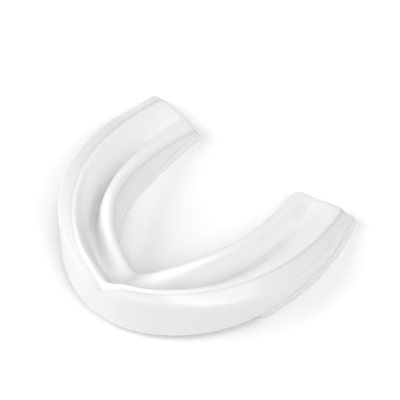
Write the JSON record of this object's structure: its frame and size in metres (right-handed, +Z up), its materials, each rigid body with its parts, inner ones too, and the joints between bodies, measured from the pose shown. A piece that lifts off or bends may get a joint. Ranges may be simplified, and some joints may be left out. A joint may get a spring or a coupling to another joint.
{
  "type": "mouthguard",
  "caption": "Boil-and-bite mouthguard: U-shaped soft tray with a deep tooth channel, a frenum notch at the front and bite pads under the molars.",
  "frame": {"origin": "on the table under the middle of the outline, with the guard resting on its two bite pads", "axes": "+Z up out of the tooth channel, -Y towards the lips where the notch is, +Y along the arms, +X to the wearer's left with the channel facing up"},
  "size_m": [0.0632, 0.0566, 0.0153],
  "materials": {
    "shell_eva": "moulded white EVA, glossy, faintly translucent",
    "liner_eva": "softer white EVA lining, smooth, semi-gloss",
    "pad_eva": "dense white EVA, smooth, semi-gloss"
  },
  "bodies": {
    "root": {"outer_shell": "shell_eva", "fit_liner": "liner_eva", "left_bite_pad": "pad_eva", "right_bite_pad": "pad_eva"}
  },
  "joints": []
}
